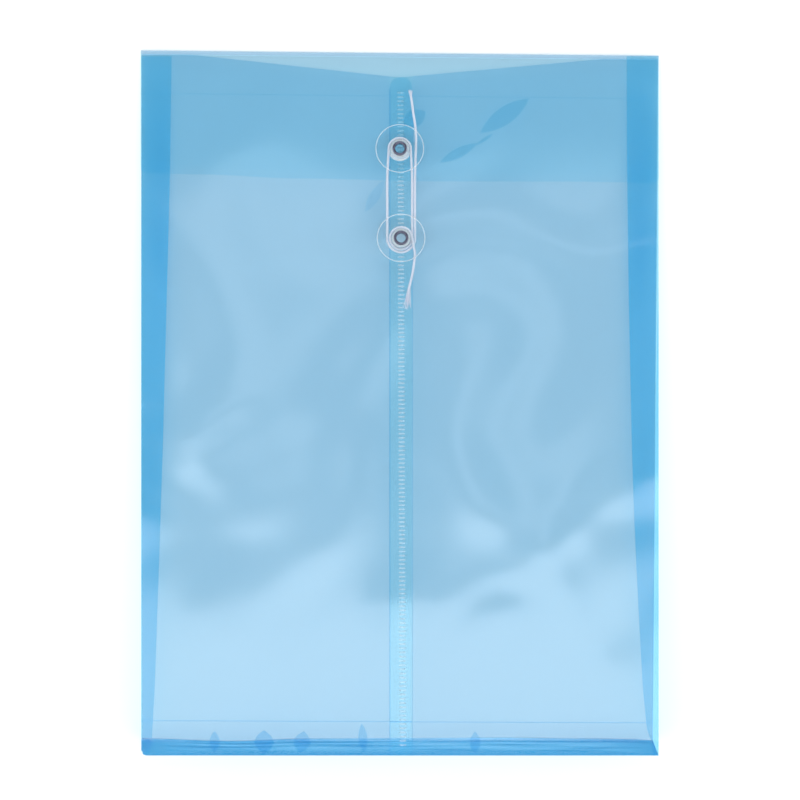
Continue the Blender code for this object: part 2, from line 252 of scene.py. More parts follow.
def streak_and_sheen_marks(tree, place):
    """Streaks along the base, partly wrinkles and partly painted reflection, with deeper ends and a deeper
    front half.
    """
    x, _, z = add(tree, "SeparateXYZ", {0: place}).outputs
    fine = 1 / STREAK_FINE
    stretch = add(tree, "Mapping", {"Vector": place, "Scale": (1 / STREAK_LONG, fine, fine)})
    bands = add(
        tree,
        "TexNoise",
        {"Vector": stretch.outputs[0], "Scale": 1.0, "Detail": 2.0, "Roughness": 0.55},
    )
    streaks = add(tree, "MapRange", {0: bands.outputs[0], 1: 0.40, 2: 0.64})
    off = add(tree, "Math", {0: x}, operation="ABSOLUTE")
    ends = add(tree, "MapRange", {0: off.outputs[0], 1: DEEP_ENDS_X, 2: HALF, 3: 0.0, 4: 0.8})
    front = add(tree, "MapRange", {0: z, 1: DEEP_FRONT_Z, 2: DEPTH, 3: 0.0, 4: 1.0})
    return [streaks.outputs[0], ends.outputs[0], front.outputs[0]]


def slanted_share(tree, share):
    """The share of the deep tint in a streaked film: a slanting ray passes more of the film."""
    facing = add(tree, "LayerWeight", {"Blend": 0.5}).outputs["Facing"]
    longer = add(tree, "MapRange", {0: facing, 1: 0.25, 2: 0.78, 3: 0.05, 4: 0.75})
    share = add(tree, "Math", {0: share, 1: 0.5}, operation="SUBTRACT")
    return add(
        tree,
        "Math",
        {0: share.outputs[0], 1: STREAK_DEPTH, 2: longer.outputs[0]},
        operation="MULTIPLY_ADD",
    ).outputs[0]


def film_material(
    name,
    tint,
    gloss,
    roughness,
    ripple,
    deep=None,
    crease_shades=(),
    clings=(),
    fade=None,
    lapped=None,
    streaked=False,
    slant=True,
):
    """Film that turns from tint to deep along its marks; along the creases the deep is painted shade.

    Its fade is two values of y, from tint at the first to deep at the second. Lapped is the tint of each
    sheet in the lap. Film without slant mirrors the same share from every side.
    """
    made, tree, out = new_material(name)
    place = add(tree, "TexCoord").outputs["Object"]
    x, y, _ = add(tree, "SeparateXYZ", {0: place}).outputs
    waves = add(
        tree,
        "TexNoise",
        {"Vector": place, "Scale": 1 / WAVE, "Detail": 1.3, "Roughness": 0.35, "Distortion": 0.9},
    )
    bump = add(tree, "Bump", {"Height": waves.outputs[0], "Distance": ripple})
    colour = (*srgb(tint), 1)
    mirror = slant_gloss(tree, gloss, {"Normal": bump.outputs[0]}) if slant else gloss
    marks = [crease_shade_mark(tree, place, crease) for crease in crease_shades]
    marks += [cling_mark(tree, place, cling) for cling in clings]
    if fade:
        marks.append(add(tree, "MapRange", {0: y, 1: fade[0], 2: fade[1]}).outputs[0])
    if streaked:
        marks += streak_and_sheen_marks(tree, place)
    if lapped:
        off_seam = distance_from(tree, x, SEAM_X)
        marks.append(lap_line_mark(tree, off_seam, y))
        doubled = add(tree, "MapRange", {0: off_seam, 1: LAP_HALF, 2: LAP_HALF + FILM, 3: 1.0, 4: 0.0})
        doubled = doubled.outputs[0]
        colour = add(tree, "Mix", {0: doubled, 6: colour, 7: (*srgb(lapped), 1)}, data_type="RGBA").outputs[2]
        kept = add(tree, "MapRange", {0: doubled, 3: 1.0, 4: LAP_GLOSS})
        rolled = add(tree, "MapRange", {0: y, 1: ROLL_Y, 2: ROLL_Y + ROLL_SOFT, 3: ROLL_GLOSS, 4: 1.0})
        kept = add(tree, "Math", {0: kept.outputs[0], 1: rolled.outputs[0]}, operation="MULTIPLY")
        mirror = add(tree, "Math", {0: mirror, 1: kept.outputs[0]}, operation="MULTIPLY").outputs[0]
    if marks:
        share = marks[0]
        for mark in marks[1:]:
            share = add(tree, "Math", {0: share, 1: mark}, operation="MAXIMUM").outputs[0]
        if streaked:
            share = slanted_share(tree, share)
        colour = add(tree, "Mix", {0: share, 6: colour, 7: (*srgb(deep), 1)}, data_type="RGBA").outputs[2]
    clear = add(tree, "BsdfTransparent", {"Color": colour})
    sheen = add(
        tree, "BsdfGlossy", {"Color": (1, 1, 1, 1), "Roughness": roughness, "Normal": bump.outputs[0]}
    )
    mixed = add(tree, "MixShader", {0: mirror, 1: clear.outputs[0], 2: sheen.outputs[0]})
    tree.links.new(mixed.outputs[0], out.inputs[0])
    return made


def milky_material(name, tone, cover, roughness):
    """Plastic that is moulded or melted to a milky look, so that part of what is behind shows through; the
    white of the disc rims is painted light, and that of the melted bars is partly painted highlight.
    """
    made, tree, out = new_material(name)
    body = add(tree, "BsdfPrincipled", {"Base Color": (*srgb(tone), 1), "Roughness": roughness, "IOR": 1.49})
    clear = add(tree, "BsdfTransparent", {"Color": (*srgb("FCFDFE"), 1)})
    mixed = add(tree, "MixShader", {0: cover, 1: clear.outputs[0], 2: body.outputs[0]})
    tree.links.new(mixed.outputs[0], out.inputs[0])
    return made


def clear_material(name, tint, gloss, roughness):
    """Moulded clear polystyrene: hardly any tint, and a faint gloss."""
    made, tree, out = new_material(name)
    clear = add(tree, "BsdfTransparent", {"Color": (*srgb(tint), 1)})
    sheen = add(tree, "BsdfGlossy", {"Color": (1, 1, 1, 1), "Roughness": roughness})
    edge = slant_gloss(tree, gloss)
    mixed = add(tree, "MixShader", {0: edge, 1: clear.outputs[0], 2: sheen.outputs[0]})
    tree.links.new(mixed.outputs[0], out.inputs[0])
    return made


WEAR_GRAIN = 0.0004
FIBRE_GRAIN = 0.0003


def plated_material(name, tone, roughness):
    """Nickel-plated brass, pressed: dark mirror-like grey, its fine wear drawn at 0.4 mm so that it shows."""
    made, tree, out = new_material(name)
    place = add(tree, "TexCoord").outputs["Object"]
    grain = add(tree, "TexNoise", {"Vector": place, "Scale": 1 / WEAR_GRAIN, "Detail": 3.0})
    least, most = roughness * 0.7, roughness * 1.4
    rough = add(tree, "MapRange", {0: grain.outputs[0], 1: 0.3, 2: 0.7, 3: least, 4: most})
    body = add(
        tree,
        "BsdfPrincipled",
        {"Base Color": (*srgb(tone), 1), "Metallic": 1.0, "Roughness": rough.outputs[0]},
    )
    tree.links.new(body.outputs[0], out.inputs[0])
    return made


def cotton_material(name, tone, shade):
    """Bleached cotton twine: matt and soft, with fibres drawn at 0.3 mm so that they show."""
    made, tree, out = new_material(name)
    place = add(tree, "TexCoord").outputs["Object"]
    scale = 1 / FIBRE_GRAIN
    grain = add(tree, "TexNoise", {"Vector": place, "Scale": scale, "Detail": 3.0, "Roughness": 0.6})
    fade = add(tree, "MapRange", {0: grain.outputs[0], 1: 0.35, 2: 0.6})
    colour = add(
        tree, "Mix", {0: fade.outputs[0], 6: (*srgb(shade), 1), 7: (*srgb(tone), 1)}, data_type="RGBA"
    )
    bump = add(tree, "Bump", {"Height": grain.outputs[0], "Distance": 0.00005, "Strength": 0.7})
    body = add(
        tree,
        "BsdfPrincipled",
        {
            "Base Color": colour.outputs[2],
            "Roughness": 0.85,
            "Normal": bump.outputs[0],
            "Sheen Weight": 0.2,
            "Sheen Roughness": 0.5,
        },
    )
    tree.links.new(body.outputs[0], out.inputs[0])
    return made


# String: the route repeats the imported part's, in the front's own frame
STRING_RADIUS = 0.0006
STRING_REST = 0.0002
SEAT = 0.00015
HUB_RADIUS = 0.0043
HUB_FLANGE = 0.00035
TURN_SPACING = 0.0013
LEVEL_RISE = 0.0017
CLIMB_START = 0.00019
CLIMB_DROP = 0.00021
CROSSING_STEP = 0.00095
ON_HUB = 2 * SEAT + HUB_FLANGE + STRING_RADIUS
ON_FILM = STRING_RADIUS + STRING_REST
FLAP_LEVEL = FLAP_TOP + ON_HUB
POCKET_LEVEL = LAP_TOP + ON_HUB
INNER_TURN = HUB_RADIUS + ON_FILM
OUTER_TURN = INNER_TURN + TURN_SPACING
FLAP_HUB = Vector((FLAP_X, FLAP_S, 0))
POCKET_HUB = Vector((SEAM_X, POCKET_S, 0))
TOP_TAIL = [
    (0.0050, 0.0256),
    (0.0056, 0.0216),
    (0.0063, 0.0163),
    (0.0071, 0.0112),
    (0.0074, 0.0070),
    (0.0075, 0.0030),
]
BOTTOM_TAIL = [
    (0.0059, -0.0122),
    (0.0051, -0.0172),
    (0.0038, -0.0228),
    (0.0031, -0.0284),
]


def turn(hub, radius, start, end, low, high=None):
    """Points of a turn about a hub, from start to end degrees, climbing from low to high."""
    steps = max(1, round(abs(start - end) / 15))
    points = []
    for i in range(steps + 1):
        share = i / steps
        angle = radians(start + (end - start) * share)
        level = low if high is None else low + (high - low) * share
        points.append(Vector((hub.x + radius * cos(angle), hub.y + radius * sin(angle), level)))
    return points


def over_flap_edge(x):
    """Points that carry a strand over the flap's free edge."""
    rest = FLAP_TOP + ON_FILM
    below = (FLAP_EDGE + POCKET_HUB.y) / 2
    return [Vector((x, FLAP_EDGE, rest)), Vector((x, below, (rest + POCKET_LEVEL) / 2))]


def string_route():
    """The string from its upper free end, round both hubs, to its lower free end."""
    route = [Vector((FLAP_HUB.x + x, FLAP_HUB.y + y, FLAP_TOP + ON_FILM)) for x, y in TOP_TAIL]
    route += over_flap_edge(POCKET_HUB.x + OUTER_TURN)
    route += turn(POCKET_HUB, OUTER_TURN, 0, -180, POCKET_LEVEL)
    route += reversed(over_flap_edge(POCKET_HUB.x - OUTER_TURN))
    route += turn(FLAP_HUB, INNER_TURN, 180, 0, FLAP_LEVEL)
    route += over_flap_edge(POCKET_HUB.x + INNER_TURN)
    route += turn(POCKET_HUB, INNER_TURN, 0, -180, POCKET_LEVEL)
    high = POCKET_LEVEL + LEVEL_RISE
    route += turn(POCKET_HUB, INNER_TURN, -195, -315, POCKET_LEVEL + CLIMB_START, high)
    route += turn(POCKET_HUB, INNER_TURN, -330, -360, high)
    crossing = Vector((INNER_TURN + CROSSING_STEP, -INNER_TURN, high))
    leaving = Vector((OUTER_TURN, -OUTER_TURN - CROSSING_STEP, high - CLIMB_DROP))
    route += [POCKET_HUB + crossing, POCKET_HUB + leaving]
    rest = LAP_TOP + ON_FILM
    route += [Vector((POCKET_HUB.x + x, POCKET_HUB.y + y, rest)) for x, y in BOTTOM_TAIL]
    return route


def smooth_path(route, step):
    """Points about one step apart on a smooth curve through the route."""
    ends = [2 * route[0] - route[1], *route, 2 * route[-1] - route[-2]]
    path = [route[0]]
    for a, b, c, d in zip(ends, ends[1:], ends[2:], ends[3:]):
        pieces = max(1, round((c - b).length / step))
        for i in range(1, pieces + 1):
            t = i / pieces
            path.append(
                0.5 * (2 * b + (c - a) * t + (2 * a - 5 * b + 4 * c - d) * t**2)
                + 0.5 * (3 * b - a - 3 * c + d) * t**3
            )
    return path


# A direction that no strand starts along
OFF_AXIS = Vector((0.31, 0.17, 0.93))


def tube(bm, path, ring):
    """A closed tube along path; ring(i) gives the offsets (across, up) of the cross-section at point i."""
    forward = (path[1] - path[0]).normalized()
    across = forward.cross(OFF_AXIS).normalized()
    rings = []
    for i, point in enumerate(path):
        ahead = path[min(i + 1, len(path) - 1)] - path[max(i - 1, 0)]
        ahead.normalize()
        across = (across - ahead * across.dot(ahead)).normalized()
        up = ahead.cross(across)
        rings.append([bm.verts.new(point + across * a + up * b) for a, b in ring(i)])
    for near, far in zip(rings, rings[1:]):
        for j in range(len(near)):
            k = (j + 1) % len(near)
            bm.faces.new((near[j], near[k], far[k], far[j]))
    bm.faces.new(list(reversed(rings[0])))
    bm.faces.new(rings[-1])


# The twine is white: its bluish grey tone and shade are painted light, the blue light of the film on it
cotton = cotton_material("cotton_twine_blue_lit", "D8E0EE", "C4CEE2")
PATH_STEP = 0.00016
PLY_TURN = 0.0030
PLIES = 3
PLY_SIDES = 18
PLY_VALLEY = 0.76
string_path = [on_front(*p) for p in smooth_path(string_route(), PATH_STEP)]
string_along = [0.0]
for near, far in zip(string_path, string_path[1:]):
    string_along.append(string_along[-1] + (far - near).length)


def ply_ring(i):
    """Three twisted plies in outline."""
    twist = 2 * pi * string_along[i] / PLY_TURN
    offsets = []
    for j in range(PLY_SIDES):
        angle = 2 * pi * j / PLY_SIDES
        lobe = PLY_VALLEY + (1 - PLY_VALLEY) * abs(cos(PLIES / 2 * (angle - twist)))
        offsets.append((STRING_RADIUS * lobe * cos(angle), STRING_RADIUS * lobe * sin(angle)))
    return offsets


shape = bmesh.new()
tube(shape, string_path, ply_ring)
string = add_mesh("string", shape, cotton, "pocket_front", smooth=60)
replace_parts(string, "tie_string")

# Loose fibres at the frayed ends: ranges of where they start, how they lie and how thick they are
FIBRE_SPAN = 12
FIBRE_STEPS = 6
FIBRE_SIDES = 5
FIBRE_SIDEWAYS = (-0.0004, 0.0004)
FIBRE_UPWARDS = (-0.0003, 0.0004)
FIBRE_LIFT = (-0.08, 0.10)
FIBRE_REACH = (0.55, 1.0)
FIBRE_CURL = (-0.25, 0.25)
FIBRE_RADIUS = (0.00009, 0.00015)


def fray(name, end, direction, back, spread, length, count, seed):
    """Loose fibres that splay out of the string from a little way back from its end."""
    rng = random.Random(seed)
    bm = bmesh.new()
    side = direction.cross(ACROSS).normalized()
    for _ in range(count):
        start = end - direction * back
        start += side * rng.uniform(*FIBRE_SIDEWAYS) + ACROSS * rng.uniform(*FIBRE_UPWARDS)
        lean = rng.uniform(-spread, spread)
        lift = rng.uniform(*FIBRE_LIFT)
        reach = length * rng.uniform(*FIBRE_REACH)
        curl = rng.uniform(*FIBRE_CURL) * spread
        points = []
        for i in range(FIBRE_STEPS + 1):
            t = i / FIBRE_STEPS
            sideways = side * ((lean + curl * t) * reach * t)
            points.append(start + direction * (reach * t) + sideways + ACROSS * (lift * reach * t))
        thin = rng.uniform(*FIBRE_RADIUS)
        angles = [2 * pi * j / FIBRE_SIDES for j in range(FIBRE_SIDES)]
        outline = [(thin * cos(a), thin * sin(a)) for a in angles]
        tube(bm, points, lambda i: outline)
    return add_mesh(name, bm, cotton, "pocket_front", smooth=60)


top_out = (string_path[0] - string_path[FIBRE_SPAN]).normalized()
bottom_out = (string_path[-1] - string_path[-1 - FIBRE_SPAN]).normalized()
frays = [
    fray("string_fray_upper", string_path[0], top_out, 0.0010, 0.26, 0.0030, 22, 4),
    fray("string_fray_lower", string_path[-1], bottom_out, 0.0065, 0.15, 0.0112, 34, 9),
]
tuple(string_path[0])
for soft in (string, *frays):
    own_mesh(soft)


def film_sheet(name, us, vs, point, material, body, hole=None):
    """A closed sheet of film over a grid of u and v, with point(u, v) on its middle surface."""
    bm = bmesh.new()
    bmesh.ops.create_grid(bm, x_segments=len(us) - 1, y_segments=len(vs) - 1, size=1.0)
    bm.verts.ensure_lookup_table()
    for i, vert in enumerate(bm.verts):
        vert.co = point(us[i % len(us)], vs[i // len(us)])
    if hole:
        centre, half = hole
        gaps = [(face, face.calc_center_median() - centre) for face in bm.faces]
        cut = [face for face, gap in gaps if max(abs(gap.x), abs(gap.dot(ALONG))) < half]
        bmesh.ops.delete(bm, geom=cut, context="FACES")
    bmesh.ops.remove_doubles(bm, verts=bm.verts, dist=FILM / 10)
    bm.normal_update()
    for vert in bm.verts:
        vert.co += vert.normal * (FILM / 2)
    bmesh.ops.solidify(bm, geom=bm.faces[:], thickness=FILM)
    return add_mesh(name, bm, material, body, smooth=35)


def spaced(start, end, count, marks=()):
    """Evenly spaced values with some marks put in."""
    values = [start + (end - start) * i / count for i in range(count + 1)]
    room = abs(end - start) / count * 0.3
    kept = [v for v in values if all(abs(v - m) > room for m in marks) or v in (start, end)]
    return sorted(set(kept) | {m for m in marks if start < m < end})


# How far the fold at the mouth falls towards the right, and the rear edge of the base moves in
FOLD_SKEW = 0.00245 / WIDTH
REAR_INSET = [
    (-0.119, 0.0018),
    (-0.079, 0.0004),
    (-0.045, 0.0017),
    (0.000, 0.0019),
    (0.046, 0.0022),
    (0.093, 0.0017),
    (0.111, 0.0014),
    (0.119, 0.0008),
]
CORNER = 0.0024
CORNER_DEEP = 0.0085
BASE_CURVE = 1.5


def fold_shift(x):
    """How far the fold lies towards the base at x."""
    return -(x + HALF) * FOLD_SKEW


def left_side(s):
    """The left edge of the front, rounded at the base."""
    if s >= CORNER:
        return -HALF
    return -HALF + CORNER - sqrt(max(CORNER**2 - (CORNER - s) ** 2, 0))


# Painted crease shade and clings of the front and the flap; the last cling of the front is the roll of its
# right edge
CREASE_UP = 0.0158
# Both creases are painted shade only: a deeper blue line, with no bend in the sheet
FRONT_CREASE_SHADE = (-LENGTH / 2 + CREASE_UP * cos(LEAN), -0.0035, 0.00035, 1.0)
FLAP_CREASE_SHADE = (0.1417, -0.0105, 0.0004, 0.3)
FRONT_CLINGS = [
    (-0.0117, 0.0954, 59, 0.0088, 0.0026, 0.3),
    (-0.0859, -0.1567, 90, 0.0052, 0.0025, 0.9),
    (-0.0630, -0.1567, 90, 0.0056, 0.0046, 1.0),
    (-0.0453, -0.1567, 80, 0.0052, 0.0040, 0.9),
    (-0.0171, -0.1549, 95, 0.0070, 0.0022, 0.9),
    (0.0349, -0.1567, 90, 0.0052, 0.0026, 0.9),
    (0.1199, -0.1630, 90, 0.2200, 0.0031, 0.7),
]
FLAP_CLINGS = [
    (0.0485, 0.1326, 35, 0.0142, 0.0042, 0.5),
    (0.0272, 0.1155, 27, 0.0100, 0.0024, 0.5),
    (0.0393, 0.1217, 34, 0.0050, 0.0008, 0.5),
    (0.0068, 0.1314, 30, 0.0062, 0.0042, 0.5),
]
GUSSET_FADE = (FLAP_Y - 0.030, FLAP_Y + 0.058)
rear_film = film_material("polypropylene_film_rear", "E7EFF4", 0.028, 0.5, 0.0010)
# The pale streaks in the base film's tint are partly painted reflection
base_film = film_material(
    "polypropylene_film_base", "D8F0FB", 0.012, 0.3, 0.0016, "66C6E4", streaked=True, slant=False
)
front_film = film_material(
    "polypropylene_film_front",
    "EEFAFF",
    0.0415,
    0.10,
    0.0026,
    "D0F0FD",
    [FRONT_CREASE_SHADE],
    FRONT_CLINGS,
    lapped="F0FCFF",
)
gusset_film = film_material(
    "polypropylene_film_gusset", "E0F8FE", 0.02, 0.4, 0.0010, "F3FDFF", fade=GUSSET_FADE, slant=False
)
flap_film = film_material(
    "polypropylene_film_flap", "F4FDFF", 0.0100, 0.10, 0.0020, "D4F3FB", [FLAP_CREASE_SHADE], FLAP_CLINGS
)
fold_film = film_material("polypropylene_film_fold", "EBF3F8", 0.002, 0.4, 0.0016)

# Rear panel and base wall: the back is creased a little further out on the left than the front
REAR_OUT = 0.0026


def rear_side(x, share):
    """Where x of the back lies, with its full share of the outward step at the base."""
    return x - REAR_OUT * share * max(0.0, -x / HALF) ** 2


def rear_point(x, t):
    """The back from its wavy base edge to the fold."""
    low = -LENGTH / 2 + blend_points(REAR_INSET, x)
    high = FOLD_Y + fold_shift(x)
    return Vector((rear_side(x, 1 - t), low + (high - low) * t, FILM / 2))


rear = film_sheet(
    "rear_panel_film",
    spaced(-HALF, HALF, 40),
    spaced(0, 1, 40),
    rear_point,
    rear_film,
    "pocket_back",
)
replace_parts(rear, "rear_panel")


def base_inset(x, t):
    """How far the base wall lies in at x, from the back at 0 to the front at 1."""
    return blend_points(REAR_INSET, x) * (1 - t) ** BASE_CURVE


def base_point(x, t):
    """The base wall from its wavy rear edge up to the front, rounded at the left corner."""
    y = -LENGTH / 2 + FILM / 2 + base_inset(x, t)
    top = DEPTH - FILM_GAP
    z = FILM + (top - FILM) * t
    side = rear_side(x, 1 - t)
    over = (z - (top - CORNER_DEEP)) * CORNER / CORNER_DEEP
    if over > 0 and x < -HALF + CORNER:
        side = max(side, -HALF + CORNER - sqrt(max(CORNER**2 - over**2, 0)))
    return Vector((side, y, z))


base = film_sheet(
    "base_wall_film",
    spaced(-HALF, HALF, 60, [-HALF + CORNER]),
    spaced(0, 1, 16),
    base_point,
    base_film,
    "pocket_back",
)
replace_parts(base, "base_rear_leaf", "base_front_leaf")

# Front halves, lapped at the seam, with a shallow V at the mouth and rounded lap corners
FRONT_LOW = 0.3144
FRONT_HIGH = 0.3252
MOUTH_SLOPES = (0.110, 0.0905)
LAP_ROUND = 0.0052
LAP_STEPS = (0.0003, 0.0010, 0.0020, 0.0032, 0.0046)
CORNER_ROWS = [0.0012, 0.0028, 0.0055]
HOLE = 0.0029


def front_top(x):
    """Where the front ends at the mouth."""
    slope = MOUTH_SLOPES[0] if x < 0 else MOUTH_SLOPES[1]
    return min(FRONT_LOW + slope * abs(x), FRONT_HIGH + fold_shift(x))


def front_sheet(name, node, left, right, height, lap_edge, inwards):
    """One half of the front; its lap edge has the whole of the half on its inwards side."""

    def point(x, t):
        top = front_top(x)
        lap = abs(x - lap_edge)
        if lap < LAP_ROUND:
            top -= LAP_ROUND - sqrt(max(LAP_ROUND**2 - (LAP_ROUND - lap) ** 2, 0))
        s = t * top
        return on_front(max(x, left_side(s)), s, height + FILM / 2)

    hole_rows = [(POCKET_S - HOLE) / FRONT_LOW, (POCKET_S + HOLE) / FRONT_LOW]
    rows = spaced(0, 1, 70, hole_rows + CORNER_ROWS)
    lap_marks = [lap_edge + inwards * step for step in LAP_STEPS]
    hole_marks = [SEAM_X - HOLE, SEAM_X + HOLE]
    corner_marks = [-HALF + CORNER * 0.4, -HALF + CORNER]
    columns = spaced(left, right, 34, hole_marks + lap_marks + corner_marks)
    hole = (on_front(SEAM_X, POCKET_S, height), HOLE)
    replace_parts(film_sheet(name, columns, rows, point, front_film, "pocket_front", hole), node)


front_sheet("front_left_film", "front_left_panel", -HALF, LAP_RIGHT, 0.0, LAP_RIGHT, -1)
front_sheet("front_right_film", "front_right_panel", LAP_LEFT, HALF, FILM + LAP_GAP, LAP_LEFT, 1)

# Gussets: each leaf follows the front on one side and the back on the other
FOOT_REACH = 0.020
LEAF_TOUCH = 0.00002
FOLD_INSET = {
    "left": [
        (0.000, 0.0032),
        (0.008, 0.0037),
        (0.030, 0.0050),
        (0.072, 0.0066),
        (0.142, 0.0092),
        (0.211, 0.0113),
        (0.267, 0.0130),
        (0.322, 0.0140),
    ],
    "right": [
        (0.000, 0.0002),
        (0.008, 0.0038),
        (0.016, 0.0046),
        (0.030, 0.0060),
        (0.072, 0.0084),
        (0.114, 0.0105),
        (0.142, 0.0115),
        (0.211, 0.0132),
        (0.281, 0.0144),
        (0.322, 0.0146),
    ],
}


def gusset_leaf(side, sign, front):
    """One leaf of a side, between its outer edge and the inner fold."""
    start = -LENGTH / 2 + FILM + FILM_GAP
    end = -LENGTH / 2 + FRONT_REACH - FILM_GAP
    rear_outer = FILM + FILM_GAP + FILM / 2
    fold_gap = (FILM + LEAF_TOUCH) / 2 * (1 if front else -1)

    def point(t, y):
        along = y + LENGTH / 2
        front_outer = DEPTH - along * tan(LEAN) - FILM_GAP - FILM / 2
        middle = (front_outer + rear_outer) / 2
        edge = sign * (WIDTH - FILM) / 2
        inner = edge - sign * blend_points(FOLD_INSET[side], along, False)
        outer = max(edge, left_side(along)) if front else rear_side(edge, 1 - along / FRONT_REACH)
        outer_z = front_outer if front else rear_outer
        z = outer_z + (middle + fold_gap - outer_z) * t
        foot = base_inset(edge, z / DEPTH) * max(0.0, 1 - along / FOOT_REACH)
        return Vector((outer + (inner - outer) * t, y + foot, z))

    word = "front" if front else "rear"
    name = f"{side}_gusset_{word}_film"
    leaf = film_sheet(name, spaced(0, 1, 6), spaced(start, end, 70), point, gusset_film, None)
    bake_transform(leaf)
    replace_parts(leaf, f"{side}_gusset_{word}_leaf")


for gusset_side, gusset_sign in (("left", -1), ("right", 1)):
    for is_front in (True, False):
        gusset_leaf(gusset_side, gusset_sign, is_front)

# Fused ladder of the seam: where the two sheets are melted together they turn pale, and their milky white is
# also painted highlight, standing in for the glint of the embossed bars
fused_and_glint_film = milky_material("polypropylene_film_fused_glint", "FFFFFF", 0.13, 0.3)
BAR_X = 0.0014
BAR_SLANT = -0.0036
BAR_SIZE = Vector((0.0029, 0.00080, 0.00003))
BAR_PITCH = 0.00195
BAR_FIRST = 0.0050
BAR_LAST = 0.3105
BUTTON_ROOM = 0.0062
bars = bmesh.new()
for i in range(int((BAR_LAST - BAR_FIRST) / BAR_PITCH)):
    s = BAR_FIRST + i * BAR_PITCH
    if abs(s - POCKET_S) < BUTTON_ROOM:
        continue
    for v in bmesh.ops.create_cube(bars, size=1.0)["verts"]:
        across, along, up = v.co * BAR_SIZE
        v.co = on_front(BAR_X + BAR_SLANT * s + across, s + along, LAP_TOP + BAR_SIZE.z + up)
weld = add_mesh("seam_weld_bars", bars, fused_and_glint_film, "pocket_front")
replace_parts(weld, "seam_weld_upper", "seam_weld_lower")

# Flap and the bent film of the fold
FLAP_END = [
    (-0.120, 0.2700),
    (-0.0926, 0.2693),
    (-0.046, 0.2674),
    (0.019, 0.2661),
    (0.074, 0.2660),
    (0.120, 0.2655),
]
FLAP_CORNER = 0.0030
FLAP_CORNER_STEPS = (0.0002, 0.0007, 0.0016, FLAP_CORNER)


def flap_point(x, t):
    """The flap from the fold to its free edge, with rounded corners."""
    end = blend_points(FLAP_END, x)
    top = FOLD_REACH + fold_shift(x)
    near = HALF - abs(x)
    if near < FLAP_CORNER:
        end += FLAP_CORNER - sqrt(max(FLAP_CORNER**2 - (FLAP_CORNER - near) ** 2, 0))
    return on_front(x, top + (end - top) * t, FLAP_UNDER + FILM / 2)


side_marks = [sign * (HALF - d) for sign in (-1, 1) for d in FLAP_CORNER_STEPS]
flap_middle = blend_points(FLAP_END, FLAP_X)
flap_fold_s = FOLD_REACH + fold_shift(FLAP_X)
flap_rows = [(flap_fold_s - FLAP_S - d) / (flap_fold_s - flap_middle) for d in (-HOLE, HOLE)]
flap = film_sheet(
    "flap_film",
    spaced(-HALF, HALF, 60, side_marks + [FLAP_X - HOLE, FLAP_X + HOLE]),
    spaced(0, 1, 24, flap_rows),
    flap_point,
    flap_film,
    "flap_side",
    (on_front(FLAP_X, FLAP_S, FLAP_UNDER + FILM / 2), HOLE),
)
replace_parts(flap, "flap")


def crease_point(x, a):
    """The half-round fold."""
    return Vector((x, FOLD_Y + fold_shift(x) + FOLD_RADIUS * cos(a), FOLD_OUTSIDE + FOLD_RADIUS * sin(a)))


crease = film_sheet(
    "flap_crease_film",
    spaced(-HALF, HALF, 20),
    spaced(-pi / 2, pi / 2 - LEAN, 16),
    crease_point,
    fold_film,
    None,
)
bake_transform(crease)
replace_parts(crease, "flap_crease")

# String buttons: a hub that the string winds on, a disc over it, and an eyelet through both and the film
BORE = 0.0026
HUB_HEIGHT = 0.0035
HUB_FILLET = 0.0003
HUB_CHAMFER = 0.0002
FLANGE_RADIUS = 0.0055
EDGE_BREAK = 0.00012
DISC_RADIUS = 0.0112
DISC_THICK = 0.0008
DISC_ROUND = 0.00039
DISC_RIM = 0.01085
WASHER_RADIUS = 0.0050
WASHER_THICK = 0.0005
WASHER_ROUND = 0.0002
EYELET_BORE = 0.00215
EYELET_NECK = 0.00240
EYELET_HEAD = 0.00335
EYELET_CURL = 0.00310
HEAD_RISE = 0.0005
CURL_DROP = 0.00046

# Discs of clear polystyrene, with a rim whose white is painted light that the clear edge gathers, and hubs of
# milky natural polypropylene
disc_clear = clear_material("polystyrene_clear", "FEFFFF", 0.01, 0.04)
disc_rim_glint = milky_material("polystyrene_rim_glint", "FAFDFF", 0.30, 0.15)
hub_milky = milky_material("polypropylene_natural", "FFFFFF", 0.45, 0.3)
nickel = plated_material("nickel_plated_brass", "5E6072", 0.16)


def turned(name, profile, x, s, material, body, node, rim=None):
    """A turned piece from a closed profile of (radius, height above the front), on the axis at s."""
    bm = bmesh.new()
    verts = [bm.verts.new((r, 0, z)) for r, z in profile]
    edges = [bm.edges.new((verts[i], verts[(i + 1) % len(verts)])) for i in range(len(verts))]
    bmesh.ops.spin(
        bm,
        geom=verts + edges,
        cent=(0, 0, 0),
        axis=(0, 0, 1),
        angle=2 * pi,
        steps=72,
        use_merge=True,
    )
    if rim:
        for face in bm.faces:
            if hypot(*face.calc_center_median()[:2]) > rim:
                face.material_index = 1
    for v in bm.verts:
        v.co = on_front(x + v.co.x, s + v.co.y, v.co.z)
    piece = add_mesh(name, bm, material, body, smooth=40)
    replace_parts(piece, node)


def arc(middle, level, half, rise, start, end, steps):
    """Points of an oval arc about (middle, level), from start to end degrees."""
    angles = [radians(start + (end - start) * i / steps) for i in range(steps + 1)]
    return [(middle + half * cos(a), level + rise * sin(a)) for a in angles]


def bead(bore, outer, low, high, rounding):
    """A rounded rectangle as a profile."""
    near, far = bore + rounding, outer - rounding
    bottom, top = low + rounding, high - rounding
    points = []
    for middle, level, start in ((far, top, 0), (near, top, 90), (near, bottom, 180), (far, bottom, 270)):
        points += arc(middle, level, rounding, rounding, start, start + 90, 5)
    return points


